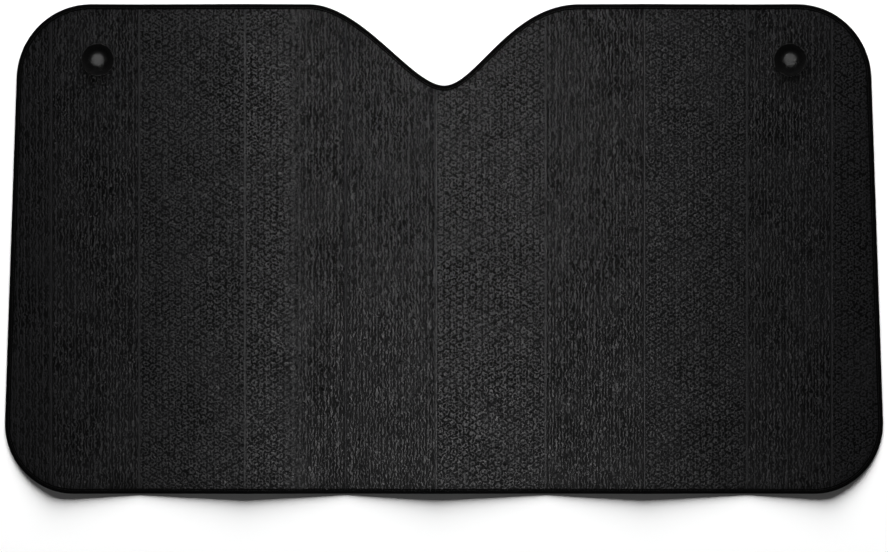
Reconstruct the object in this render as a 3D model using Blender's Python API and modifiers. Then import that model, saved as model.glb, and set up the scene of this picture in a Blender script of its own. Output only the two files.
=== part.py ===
"""Folding windscreen shade of black bubble film, lying on a flat surface with its glass side up.

The sheet is an accordion of ten film panels between pressed creases, edged with a sewn tape
binding. A notch in its top edge clears the mirror. Two suction cups sit in metal eyelets near
the top corners and turn in them. X runs across the shade, Y towards its top edge and Z up, away
from the surface that the valley creases and the side edges rest on.
"""

import math

import bmesh
import bpy
import numpy as np

# Outline of the bound sheet, seen from above
SHEET_WIDTH = 1.450
SHEET_HEIGHT = 0.808
SIDE_LEAN = 0.0195
TOP_CORNER_RADIUS = 0.125
BOTTOM_CORNER_RADIUS = 0.116
OUTLINE_STEPS = 9

# Mirror notch in the top edge: one smooth curve on each side of its lowest point
NOTCH_HALF_WIDTH = 0.223
NOTCH_DEPTH = 0.1345
NOTCH_FLOOR_REACH = 0.052
NOTCH_SHOULDER_REACH_LEFT = 0.088
NOTCH_SHOULDER_REACH_RIGHT = 0.114

# Bubble film: round columns of bubbles on the glass side, flat on the other
FILM_THICKNESS = 0.0040
RIB_PITCH = 0.01057
RIB_DEPTH = 0.0011

# Fold panels between the pressed creases, each as wide as it lies, from the sides inwards. The
# two beside the middle crease take what is left. Ridges and valleys take turns from side to side.
LEFT_FLAP = 0.078
LEFT_PANEL_1 = 0.144
LEFT_PANEL_2 = 0.175
LEFT_PANEL_3 = 0.166
RIGHT_FLAP = 0.086
RIGHT_PANEL_1 = 0.139
RIGHT_PANEL_2 = 0.170
RIGHT_PANEL_3 = 0.162
MIDDLE_CREASE_X = -0.013
CREASE_WIDTH = 0.0095
CREASE_THICKNESS = 0.0021
FOLD_HEIGHT = 0.012

# Sewn binding: one tape folded round the sheet's edge
BINDING_WIDTH = 0.0085
TAPE_THICKNESS = 0.0006

# Suction cups and the eyelets that carry them
CUP_FROM_SIDE = 0.1535
CUP_BELOW_TOP = 0.0925
CUP_DIAMETER = 0.054
CUP_HEIGHT = 0.0135
DISH_DEPTH = 0.0085
DISH_FLAT_RADIUS = 0.008
LIP_LAND = 0.0014
LIP_THICKNESS = 0.0009
BOSS_DIAMETER = 0.017
BOSS_HEIGHT = 0.0016
NECK_DIAMETER = 0.0080
HEAD_DIAMETER = 0.0136
HEAD_THICKNESS = 0.0030
HEAD_ROUNDING = 0.0011
EYELET_WALL = 0.0005
EYELET_FLANGE_DIAMETER = 0.0190
EYELET_ROLL_DIAMETER = 0.0130
WASHER_DIAMETER = 0.0190
WASHER_THICKNESS = 0.0005

# Clearances
SEAT_GAP = 0.0003
NECK_PLAY = 0.0005

CUP_SEGMENTS = 40
EYELET_SEGMENTS = 28
CUTTER_MARGIN = 0.004
ARC_HANDLE = 4 / 3
SHARP_RIM = math.radians(35)

FILM_BACK = TAPE_THICKNESS + SEAT_GAP
SHEET_DEPTH = 2 * FILM_BACK + FILM_THICKNESS


def make_collection(name):
    collection = bpy.data.collections.new(name)
    bpy.context.scene.collection.children.link(collection)
    return collection


def make_material(name, colour, roughness, metallic=0.0, coat=0.0):
    material = bpy.data.materials.new(name)
    material.use_nodes = True
    shader = material.node_tree.nodes["Principled BSDF"]
    shader.inputs["Base Color"].default_value = (*colour, 1.0)
    shader.inputs["Roughness"].default_value = roughness
    shader.inputs["Metallic"].default_value = metallic
    shader.inputs["Coat Weight"].default_value = coat
    return material


def add_object(name, mesh, collection, material=None):
    obj = bpy.data.objects.new(name, mesh)
    collection.objects.link(obj)
    if material:
        mesh.materials.append(material)
    return obj


def make_cutter(obj):
    obj.hide_render = True
    obj.display_type = "WIRE"
    return obj


def cut(obj, cutter):
    boolean = obj.modifiers.new(f"cut {cutter.name}", "BOOLEAN")
    boolean.operation = "DIFFERENCE"
    boolean.solver = "EXACT"
    boolean.object = cutter


def side_x():
    """How far the sheet reaches to each side of the notch."""
    return SHEET_WIDTH / 2


def side_normal_angle():
    """Angle above X of the outward normal of the right side, which touches both corner circles."""
    across = BOTTOM_CORNER_RADIUS - TOP_CORNER_RADIUS - SIDE_LEAN
    along = SHEET_HEIGHT - TOP_CORNER_RADIUS - BOTTOM_CORNER_RADIUS
    apart = BOTTOM_CORNER_RADIUS - TOP_CORNER_RADIUS
    return math.atan2(along, across) - math.acos(apart / math.hypot(across, along))


def corner(centre, radius, start, end):
    """Two curve points, each with its handles, that make a round corner anticlockwise."""
    reach = ARC_HANDLE * math.tan((end - start) / 4) * radius
    points = []
    for angle, back, ahead in ((start, 0.0, reach), (end, reach, 0.0)):
        out = np.array((math.cos(angle), math.sin(angle)))
        along = np.array((-out[1], out[0]))
        point = np.array(centre) + radius * out
        points.append((point, point - back * along, point + ahead * along))
    return points


def outline_points():
    """The outline anticlockwise from the lower left corner: point, handle before, handle after."""
    lean = side_normal_angle()
    half_height, right = SHEET_HEIGHT / 2, math.pi / 2
    low_x = side_x() - BOTTOM_CORNER_RADIUS
    low_y = BOTTOM_CORNER_RADIUS - half_height
    high_x = side_x() - SIDE_LEAN - TOP_CORNER_RADIUS
    high_y = half_height - TOP_CORNER_RADIUS
    points = corner((-low_x, low_y), BOTTOM_CORNER_RADIUS, math.pi - lean, 3 * right)
    points += corner((low_x, low_y), BOTTOM_CORNER_RADIUS, -right, lean)
    points += corner((high_x, high_y), TOP_CORNER_RADIUS, lean, right)
    for x, before, after in (
        (NOTCH_HALF_WIDTH, 0.0, NOTCH_SHOULDER_REACH_RIGHT),
        (0.0, NOTCH_FLOOR_REACH, NOTCH_FLOOR_REACH),
        (-NOTCH_HALF_WIDTH, NOTCH_SHOULDER_REACH_LEFT, 0.0),
    ):
        y = half_height - (0.0 if x else NOTCH_DEPTH)
        points.append((np.array((x, y)), np.array((x + before, y)), np.array((x - after, y))))
    points += corner((-high_x, high_y), TOP_CORNER_RADIUS, right, math.pi - lean)
    return points


def outline_mesh(name, inset, bottom, top):
    """A closed slab of the outline drawn in by inset, with its flat faces whole."""
    curve = bpy.data.curves.new(name, "CURVE")
    curve.dimensions, curve.fill_mode = "2D", "BOTH"
    curve.resolution_u = OUTLINE_STEPS
    curve.offset = -inset
    curve.extrude = (top - bottom) / 2
    points = outline_points()
    spline = curve.splines.new("BEZIER")
    spline.bezier_points.add(len(points) - 1)
    spline.use_cyclic_u = True
    for target, (point, before, after) in zip(spline.bezier_points, points):
        target.handle_left_type = target.handle_right_type = "FREE"
        target.co = (*point, 0.0)
        target.handle_left, target.handle_right = (*before, 0.0), (*after, 0.0)
    holder = bpy.data.objects.new(name, curve)
    bpy.context.scene.collection.objects.link(holder)
    bpy.context.view_layer.update()
    evaluated = holder.evaluated_get(bpy.context.evaluated_depsgraph_get())
    mesh = bpy.data.meshes.new_from_object(evaluated)
    bpy.data.objects.remove(holder)
    bpy.data.curves.remove(curve)
    slab = bmesh.new()
    slab.from_mesh(mesh)
    bmesh.ops.remove_doubles(slab, verts=slab.verts, dist=1e-6)
    bmesh.ops.translate(slab, vec=(0.0, 0.0, (bottom + top) / 2), verts=slab.verts)
    bmesh.ops.dissolve_limit(
        slab, angle_limit=math.radians(0.2), verts=slab.verts, edges=slab.edges
    )
    slab.to_mesh(mesh)
    slab.free()
    return mesh


def creases():
    """Where the creases run, from left to right."""
    left = np.cumsum((LEFT_FLAP, LEFT_PANEL_1, LEFT_PANEL_2, LEFT_PANEL_3)) - side_x()
    right = side_x() - np.cumsum((RIGHT_FLAP, RIGHT_PANEL_1, RIGHT_PANEL_2, RIGHT_PANEL_3))
    return [*left, MIDDLE_CREASE_X, *reversed(right)]


def fold_height(x):
    """Height of the folded sheet's underside at x: ridges and valleys joined by straight panels."""
    stations = [-side_x(), *creases(), side_x()]
    return float(np.interp(x, stations, [FOLD_HEIGHT * (i % 2) for i in range(len(stations))]))


def film_depth(x):
    """Thickness of the film at x: a round rib for each bubble column, pressed thin at a crease."""
    across = 2 * (x / RIB_PITCH - math.floor(x / RIB_PITCH)) - 1
    rib = FILM_THICKNESS - RIB_DEPTH * (1 - math.sqrt(1 - across**2))
    nearest = min(abs(x - crease) for crease in creases())
    press = min(1.0, 2 * nearest / CREASE_WIDTH)
    return CREASE_THICKNESS + (rib - CREASE_THICKNESS) * press * press * (3 - 2 * press)


def rib_stations():
    """Where the film's ribbed face bends: valley, flank, crest and flank of every rib."""
    edge = side_x()
    first = math.ceil(-edge / RIB_PITCH) - 1
    count = math.ceil(2 * edge / RIB_PITCH) + 2
    ribs = [(first + i + part) * RIB_PITCH for i in range(count) for part in (0, 0.14, 0.5, 0.86)]
    pressed = [c + share * CREASE_WIDTH for c in creases() for share in (-0.5, -0.2, 0, 0.2, 0.5)]
    spare = RIB_PITCH / 12
    clear = [x for x in ribs if abs(x) < edge and min(abs(x - p) for p in pressed) > spare]
    return sorted(clear + pressed)


def bend_slab(mesh, stations, bottom, top):
    """Cut a slab across at each station and set its two faces to the heights bottom(x), top(x)."""
    slab = bmesh.new()
    slab.from_mesh(mesh)
    middle = sum(vertex.co.z for vertex in slab.verts) / len(slab.verts)
    for x in stations:
        geometry = slab.verts[:] + slab.edges[:] + slab.faces[:]
        bmesh.ops.bisect_plane(
            slab, geom=geometry, dist=1e-5, plane_co=(x, 0.0, 0.0), plane_no=(1.0, 0.0, 0.0)
        )
    known = [-side_x(), *stations, side_x()]
    low, high = [bottom(x) for x in known], [top(x) for x in known]
    for vertex in slab.verts:
        vertex.co.z = np.interp(vertex.co.x, known, high if vertex.co.z > middle else low)
    bmesh.ops.recalc_face_normals(slab, faces=slab.faces)
    slab.to_mesh(mesh)
    slab.free()


def folded_slab(name, inset, bottom, top):
    """A slab of even depth that follows the folds."""
    mesh = outline_mesh(name, inset, bottom, top)
    bend_slab(mesh, creases(), lambda x: fold_height(x) + bottom, lambda x: fold_height(x) + top)
    return mesh


def make_film(collection, material):
    inset = TAPE_THICKNESS + SEAT_GAP
    mesh = outline_mesh("shade_panel", inset, FILM_BACK, FILM_BACK + FILM_THICKNESS)
    bend_slab(
        mesh,
        rib_stations(),
        lambda x: fold_height(x) + FILM_BACK,
        lambda x: fold_height(x) + FILM_BACK + film_depth(x),
    )
    return add_object("shade_panel", mesh, collection, material)


def make_binding(collection, cutters, material):
    """A tape folded round the edge: a bound slab, less the film's room and the open middle."""
    mesh = folded_slab("edge_binding", 0.0, 0.0, SHEET_DEPTH)
    binding = add_object("edge_binding", mesh, collection, material)
    room = folded_slab("film_room", TAPE_THICKNESS, TAPE_THICKNESS, SHEET_DEPTH - TAPE_THICKNESS)
    middle = folded_slab(
        "open_middle", BINDING_WIDTH, -CUTTER_MARGIN, SHEET_DEPTH + CUTTER_MARGIN
    )
    cut(binding, make_cutter(add_object("film_room", room, cutters)))
    cut(binding, make_cutter(add_object("open_middle", middle, cutters)))
    return binding


def arc(centre, radius, start, end, steps):
    """Points of a profile arc as (distance from the axis, height)."""
    angles = np.linspace(start, end, steps + 1)
    return [(centre[0] + radius * math.cos(a), centre[1] + radius * math.sin(a)) for a in angles]


def turn(name, profile, segments, collection, material=None, closed=False):
    """Turn a profile of (distance from the axis, height) round Z."""
    mesh = bpy.data.meshes.new(name)
    count = len(profile)
    edges = [(i, (i + 1) % count) for i in range(count if closed else count - 1)]
    mesh.from_pydata([(r, 0.0, z) for r, z in profile], edges, [])
    obj = add_object(name, mesh, collection, material)
    screw = obj.modifiers.new("turn", "SCREW")
    screw.steps = screw.render_steps = segments
    screw.use_merge_vertices = True
    screw.merge_threshold = 0.00002
    bpy.context.view_layer.update()
    evaluated = obj.evaluated_get(bpy.context.evaluated_depsgraph_get())
    turned = bpy.data.meshes.new_from_object(evaluated)
    turned.shade_smooth()
    turned.set_sharp_from_angle(angle=SHARP_RIM)
    obj.modifiers.remove(screw)
    obj.data = turned
    return obj


def cup_profile():
    """Suction cup from the middle of its dish, over the lip, down the outside, neck and head."""
    shoulder = FILM_THICKNESS + 2 * SEAT_GAP + EYELET_WALL
    lip = shoulder + CUP_HEIGHT
    lip_radius = CUP_DIAMETER / 2
    rim = lip_radius - LIP_LAND
    floor = lip - DISH_DEPTH
    span = rim - DISH_FLAT_RADIUS
    bowl = (span**2 + DISH_DEPTH**2) / (2 * DISH_DEPTH)
    sweep = math.asin(span / bowl)
    dish = arc((DISH_FLAT_RADIUS, floor + bowl), bowl, -math.pi / 2, sweep - math.pi / 2, 7)
    boss_radius, boss_top = BOSS_DIAMETER / 2, shoulder + BOSS_HEIGHT
    out, up = lip_radius - boss_radius, lip - LIP_THICKNESS - boss_top
    bend = (out**2 + up**2) / (2 * up)
    lean = math.asin(out / bend)
    skirt = arc((boss_radius, boss_top + bend), bend, lean - math.pi / 2, -math.pi / 2, 6)
    neck = NECK_DIAMETER / 2
    head, head_top = HEAD_DIAMETER / 2, -(3 * SEAT_GAP + EYELET_WALL + WASHER_THICKNESS)
    head_bottom = head_top - HEAD_THICKNESS
    below = [(boss_radius, shoulder), (neck, shoulder), (neck, head_top), (head, head_top)]
    rounded = arc(
        (head - HEAD_ROUNDING, head_bottom + HEAD_ROUNDING), HEAD_ROUNDING, 0, -math.pi / 2, 3
    )
    return [(0.0, floor), *dish, (lip_radius, lip), *skirt, *below, *rounded, (0.0, head_bottom)]


def eyelet_profile():
    """Eyelet with its flange on the glass side and its end rolled out over the washer."""
    bore = NECK_DIAMETER / 2 + NECK_PLAY
    barrel = bore + EYELET_WALL
    top = FILM_THICKNESS + SEAT_GAP + EYELET_WALL
    roll = -(2 * SEAT_GAP + WASHER_THICKNESS)
    flange, rolled = EYELET_FLANGE_DIAMETER / 2, EYELET_ROLL_DIAMETER / 2
    return [
        (bore, top),
        (flange, top),
        (flange, top - EYELET_WALL),
        (barrel, top - EYELET_WALL),
        (barrel, roll),
        (rolled, roll),
        (rolled, roll - EYELET_WALL),
        (bore, roll - EYELET_WALL),
    ]


def washer_profile():
    hole = NECK_DIAMETER / 2 + NECK_PLAY + EYELET_WALL + SEAT_GAP
    outer, top, bottom = WASHER_DIAMETER / 2, -SEAT_GAP, -SEAT_GAP - WASHER_THICKNESS
    return [(hole, top), (outer, top), (outer, bottom), (hole, bottom)]


def add_axis(name, x, y, collection):
    """An empty on the film's underside, its Z square to the film panel that it stands on."""
    step = CREASE_WIDTH / 100
    slope = (fold_height(x + step) - fold_height(x - step)) / (2 * step)
    axis = bpy.data.objects.new(name, None)
    axis.location = (x, y, fold_height(x) + FILM_BACK)
    axis.rotation_euler = (0.0, -math.atan(slope), 0.0)
    axis.empty_display_size = CUP_DIAMETER / 2
    collection.objects.link(axis)
    return axis


def fit_cup(side, x, film, collection, cutters, materials):
    """One suction cup with its eyelet, and the hole for them in the film."""
    rubber, metal = materials
    axis = add_axis(f"cup_{side}_axis", x, SHEET_HEIGHT / 2 - CUP_BELOW_TOP, collection)
    hole = NECK_DIAMETER / 2 + NECK_PLAY + EYELET_WALL + SEAT_GAP
    top, bottom = FILM_THICKNESS + CUTTER_MARGIN, -CUTTER_MARGIN
    bore = [(0.0, top), (hole, top), (hole, bottom), (0.0, bottom)]
    pieces = [
        turn(f"suction_cup_{side}", cup_profile(), CUP_SEGMENTS, collection, rubber),
        turn(f"eyelet_{side}", eyelet_profile(), EYELET_SEGMENTS, collection, metal, True),
        turn(f"eyelet_washer_{side}", washer_profile(), EYELET_SEGMENTS, collection, metal, True),
        make_cutter(turn(f"eyelet_hole_{side}", bore, EYELET_SEGMENTS, cutters)),
    ]
    for piece in pieces:
        piece.parent = axis
    cut(film, pieces[-1])


def main():
    for obj in list(bpy.data.objects):
        bpy.data.objects.remove(obj, do_unlink=True)
    shade, cutters = make_collection("windscreen_cover"), make_collection("cutters")
    film_black = make_material("black bubble film", (0.020, 0.020, 0.021), 0.48)
    tape_black = make_material("black binding tape", (0.004, 0.004, 0.004), 0.85)
    rubber = make_material("glossy black cup", (0.006, 0.006, 0.006), 0.16, coat=0.4)
    metal = make_material("nickel eyelet", (0.62, 0.61, 0.59), 0.28, metallic=1.0)
    film = make_film(shade, film_black)
    make_binding(shade, cutters, tape_black)
    cup_x = side_x() - CUP_FROM_SIDE
    for side, x in (("left", -cup_x), ("right", cup_x)):
        fit_cup(side, x, film, shade, cutters, (rubber, metal))


main()
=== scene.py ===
"""Looks of a folding windscreen shade of black bubble film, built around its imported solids.

The shade lies on a pale floor with its glass side up. Its film, tape, stitches, cups and eyelets
are modelled here over the solids of the frame, each as one class, and ride on the frame's bodies.
"""

from __future__ import annotations

import logging
import math
from dataclasses import dataclass, field
from enum import Enum
from typing import Sequence

import bpy
import numpy as np
from mathutils import Matrix, Vector
from mathutils.kdtree import KDTree

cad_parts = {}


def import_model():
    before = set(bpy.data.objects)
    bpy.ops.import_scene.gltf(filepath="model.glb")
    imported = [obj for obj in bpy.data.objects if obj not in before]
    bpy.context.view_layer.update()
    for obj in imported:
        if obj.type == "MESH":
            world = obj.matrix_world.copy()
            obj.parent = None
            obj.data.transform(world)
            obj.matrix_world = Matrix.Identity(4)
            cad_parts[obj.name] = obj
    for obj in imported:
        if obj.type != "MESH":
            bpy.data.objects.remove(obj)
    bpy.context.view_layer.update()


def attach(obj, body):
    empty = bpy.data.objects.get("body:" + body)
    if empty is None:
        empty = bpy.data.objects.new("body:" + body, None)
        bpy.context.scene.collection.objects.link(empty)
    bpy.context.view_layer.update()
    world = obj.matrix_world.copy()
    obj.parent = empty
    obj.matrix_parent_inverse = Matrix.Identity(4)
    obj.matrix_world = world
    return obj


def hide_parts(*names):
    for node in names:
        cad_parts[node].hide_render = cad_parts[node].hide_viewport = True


log = logging.getLogger("windscreen_cover")

MM = 0.001

# Width of one band of the wave texture at a scale of 1
WAVE_BAND = 2 * math.pi / 20

# Sockets of a Mix node that mixes colours: its two colours and its result. Names don't tell them
# from the node's sockets for numbers, which are 2, 3 and 0.
FIRST_COLOUR, SECOND_COLOUR, MIXED_COLOUR = 6, 7, 2
FIRST_NUMBER, SECOND_NUMBER, MIXED_NUMBER = 2, 3, 0


class Side(Enum):
    """The two ends of the shade, by the sign of their place along X."""

    LEFT = -1
    RIGHT = 1


class Weave(Enum):
    """How the bubbles of a fold panel lie: single, drawn into columns or one turning to the
    other across the panel."""

    SPECKLED = 0.0
    MIXED = 0.5
    RIBBED = 1.0


class Socket(Enum):
    """Names of the shader sockets that the finishes set."""

    COLOUR = "Base Color"
    ROUGHNESS = "Roughness"
    METALLIC = "Metallic"
    IOR = "IOR"
    SPECULAR = "Specular IOR Level"
    NORMAL = "Normal"


# Small tools


def linear(code: str) -> tuple[float, float, float, float]:
    """Turn an sRGB hex value to linear light.

    Args:
        code: The colour as "#rrggbb".

    Returns:
        Red, green, blue and alpha, each from 0 to 1.
    """
    parts = [int(code[i : i + 2], 16) / 255 for i in (1, 3, 5)]
    red, green, blue = (p / 12.92 if p <= 0.04045 else ((p + 0.055) / 1.055) ** 2.4 for p in parts)
    return red, green, blue, 1.0


def add_node(
    tree: bpy.types.NodeTree,
    kind: str,
    settings: dict[str, object] | None = None,
    inputs: dict[str | int, object] | None = None,
    links: dict[str | int, bpy.types.NodeSocket] | None = None,
) -> bpy.types.Node:
    """Add a node with its settings, input values and links.

    Args:
        tree: The node tree that gets the node.
        kind: The node's type name.
        settings: Properties of the node itself.
        inputs: Values for its input sockets, by name or place.
        links: Sockets that feed its inputs, by name or place.

    Returns:
        The new node.
    """
    node = tree.nodes.new(kind)
    for name, value in (settings or {}).items():
        setattr(node, name, value)
    for name, value in (inputs or {}).items():
        node.inputs[name].default_value = value
    for name, socket in (links or {}).items():
        tree.links.new(socket, node.inputs[name])
    return node


def deselect_all() -> None:
    """Leave nothing selected, so that the next operator acts only on its own object."""
    bpy.ops.object.select_all(action="DESELECT")


def pick(obj: bpy.types.Object) -> None:
    """Make an object the only selected one and the active one.

    Args:
        obj: The object.
    """
    deselect_all()
    obj.select_set(True)
    bpy.context.view_layer.objects.active = obj


def coordinates(obj: bpy.types.Object) -> np.ndarray:
    """Read the places of an object's vertices.

    Args:
        obj: The mesh object.

    Returns:
        The places, one row each.
    """
    flat = np.empty(3 * len(obj.data.vertices), np.float32)
    obj.data.vertices.foreach_get("co", flat)
    return flat.reshape(-1, 3).astype(float)


def place_vertices(obj: bpy.types.Object, places: np.ndarray) -> None:
    """Write the places of an object's vertices, one row each."""
    obj.data.vertices.foreach_set("co", places.astype(np.float32).ravel())
    obj.data.update()


def delete_vertices(obj: bpy.types.Object, doomed: np.ndarray) -> None:
    """Delete the marked vertices and their faces.

    Args:
        obj: The mesh object.
        doomed: One truth value for each vertex.
    """
    pick(obj)
    bpy.ops.object.mode_set(mode="EDIT")
    bpy.ops.mesh.select_mode(type="VERT")
    bpy.ops.mesh.select_all(action="DESELECT")
    bpy.ops.object.mode_set(mode="OBJECT")
    obj.data.vertices.foreach_set("select", doomed.astype(bool))
    bpy.ops.object.mode_set(mode="EDIT")
    bpy.ops.mesh.delete(type="VERT")
    bpy.ops.object.mode_set(mode="OBJECT")


def bisect_at(obj: bpy.types.Object, stations: Sequence[float]) -> None:
    """Cut a mesh across at each place along X, so that it can bend there.

    Args:
        obj: The mesh object.
        stations: Places along X, in metres.
    """
    pick(obj)
    bpy.ops.object.mode_set(mode="EDIT")
    bpy.ops.mesh.select_mode(type="VERT")
    for x in stations:
        bpy.ops.mesh.select_all(action="SELECT")
        bpy.ops.mesh.bisect(plane_co=(x, 0.0, 0.0), plane_no=(1.0, 0.0, 0.0), threshold=1e-5)
    bpy.ops.object.mode_set(mode="OBJECT")


def face_outwards(obj: bpy.types.Object, merge: float = 0.0) -> None:
    """Turn a closed mesh's faces outwards.

    Args:
        obj: The mesh object.
        merge: How near vertices are merged first, in metres, or 0 for none.
    """
    pick(obj)
    bpy.ops.object.mode_set(mode="EDIT")
    bpy.ops.mesh.select_all(action="SELECT")
    if merge:
        bpy.ops.mesh.remove_doubles(threshold=merge)
    bpy.ops.mesh.normals_make_consistent(inside=False)
    bpy.ops.object.mode_set(mode="OBJECT")


def smoothstep(value: np.ndarray | float, low: float, high: float) -> np.ndarray:
    """Rise smoothly from 0 at low to 1 at high."""
    t = np.clip((np.asarray(value, float) - low) / (high - low), 0.0, 1.0)
    return t * t * (3.0 - 2.0 * t)


# The sheet's form


@dataclass(frozen=True)
class SheetOutline:
    """Outline of the bound sheet: round corners, leaning sides and the mirror notch."""

    width: float = 1.450
    height: float = 0.808
    side_lean: float = 0.0195
    top_radius: float = 0.125
    bottom_radius: float = 0.116
    notch_half_width: float = 0.223
    notch_depth: float = 0.1345
    notch_floor_reach: float = 0.052
    notch_left_reach: float = 0.088
    notch_right_reach: float = 0.114
    steps_per_curve: int = 400
    fine_spacing: float = 2 * MM

    def _corner(self, centre: tuple[float, float], radius: float, start: float, end: float) -> list:
        """Give the two knots of a round corner, anticlockwise.

        Args:
            centre: The corner's centre.
            radius: Its radius.
            start: The angle that it starts at, in radians.
            end: The angle that it ends at.

        Returns:
            The knots, each as its point, the handle before it and the handle after it.
        """
        reach = 4 / 3 * math.tan((end - start) / 4) * radius
        knots = []
        for angle, back, ahead in ((start, 0.0, reach), (end, reach, 0.0)):
            out = np.array((math.cos(angle), math.sin(angle)))
            along = np.array((-out[1], out[0]))
            point = np.array(centre) + radius * out
            knots.append((point, point - back * along, point + ahead * along))
        return knots

    def knots(self) -> list:
        """Give the outline's knots: the four corners and the notch's shoulders and floor.

        Returns:
            The knots anticlockwise, each as its point, the handle before it and the one after it.
        """
        across = self.bottom_radius - self.top_radius - self.side_lean
        along = self.height - self.top_radius - self.bottom_radius
        apart = self.bottom_radius - self.top_radius
        lean = math.atan2(along, across) - math.acos(apart / math.hypot(across, along))
        half, right = self.height / 2, math.pi / 2
        low_x, low_y = self.width / 2 - self.bottom_radius, self.bottom_radius - half
        high_x = self.width / 2 - self.side_lean - self.top_radius
        high_y = half - self.top_radius
        knots = self._corner((-low_x, low_y), self.bottom_radius, math.pi - lean, 3 * right)
        knots += self._corner((low_x, low_y), self.bottom_radius, -right, lean)
        knots += self._corner((high_x, high_y), self.top_radius, lean, right)
        for x, before, after in (
            (self.notch_half_width, 0.0, self.notch_right_reach),
            (0.0, self.notch_floor_reach, self.notch_floor_reach),
            (-self.notch_half_width, self.notch_left_reach, 0.0),
        ):
            y = half - (0.0 if x else self.notch_depth)
            knots.append((np.array((x, y)), np.array((x + before, y)), np.array((x - after, y))))
        knots += self._corner((-high_x, high_y), self.top_radius, right, math.pi - lean)
        return knots

    def samples(self, spacing: float) -> tuple[np.ndarray, np.ndarray, float]:
        """Walk round the outline in even steps.

        Args:
            spacing: About how far the points lie apart, in metres.

        Returns:
            The points, their outward normals and the outline's length.
        """
        knots = self.knots()
        t = np.linspace(0.0, 1.0, self.steps_per_curve, endpoint=False)[:, None]
        runs = []
        for (start, _, leave), (end, arrive, _) in zip(knots, knots[1:] + knots[:1]):
            u = 1.0 - t
            runs.append(u**3 * start + 3 * u * u * t * leave + 3 * u * t * t * arrive + t**3 * end)
        dense = np.concatenate(runs + [runs[0][:1]])
        steps = np.linalg.norm(np.diff(dense, axis=0), axis=1)
        travelled = np.concatenate([[0.0], np.cumsum(steps)])
        length = float(travelled[-1])
        marks = np.linspace(0.0, length, max(8, round(length / spacing)), endpoint=False)
        points = np.stack([np.interp(marks, travelled, dense[:, i]) for i in (0, 1)], axis=1)
        along = np.roll(points, -1, axis=0) - np.roll(points, 1, axis=0)
        along /= np.linalg.norm(along, axis=1)[:, None]
        return points, np.stack([along[:, 1], -along[:, 0]], axis=1), length

    def area(self) -> float:
        """Work out the area inside the outline as it lies.

        Returns:
            The area, in square metres.
        """
        points, _, _ = self.samples(self.fine_spacing)
        x, y = points[:, 0], points[:, 1]
        return float(abs(np.dot(x, np.roll(y, -1)) - np.dot(y, np.roll(x, -1))) / 2)

    def from_edge(self, places: np.ndarray) -> tuple[np.ndarray, np.ndarray, float]:
        """Measure where each place lies from the outline.

        Args:
            places: Points, one row each, of which X and Y count.

        Returns:
            How far inside the outline each place lies, below 0 outside, how far along the outline
            it lies, and the outline's length.
        """
        points, normals, length = self.samples(self.fine_spacing)
        tree = KDTree(len(points))
        for index, point in enumerate(points):
            tree.insert((*point, 0.0), index)
        tree.balance()
        nearest = np.array([tree.find((x, y, 0.0))[1] for x, y in places[:, :2]])
        offset, normal = places[:, :2] - points[nearest], normals[nearest]
        tangent = np.stack([-normal[:, 1], normal[:, 0]], axis=1)
        along = nearest / len(points) * length + np.einsum("ij,ij->i", offset, tangent)
        return -np.einsum("ij,ij->i", offset, normal), along, length

    def guide(self, name: str, inset: float, spacing: float) -> bpy.types.Object:
        """Lay a closed curve inside the outline, for what follows its edge.

        Args:
            name: The curve's name.
            inset: How far inside the outline it runs, in metres.
            spacing: About how far its points lie apart, in metres.

        Returns:
            The curve object.
        """
        points, normals, _ = self.samples(spacing)
        track = points - inset * normals
        curve = bpy.data.curves.new(name, "CURVE")
        curve.dimensions = "3D"
        curve.twist_mode = "Z_UP"
        spline = curve.splines.new("POLY")
        spline.points.add(len(track) - 1)
        weighted = np.column_stack([track, np.zeros(len(track)), np.ones(len(track))])
        spline.points.foreach_set("co", weighted.astype(np.float32).ravel())
        spline.use_cyclic_u = True
        obj = bpy.data.objects.new(name, curve)
        bpy.context.scene.collection.objects.link(obj)
        return obj


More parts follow.
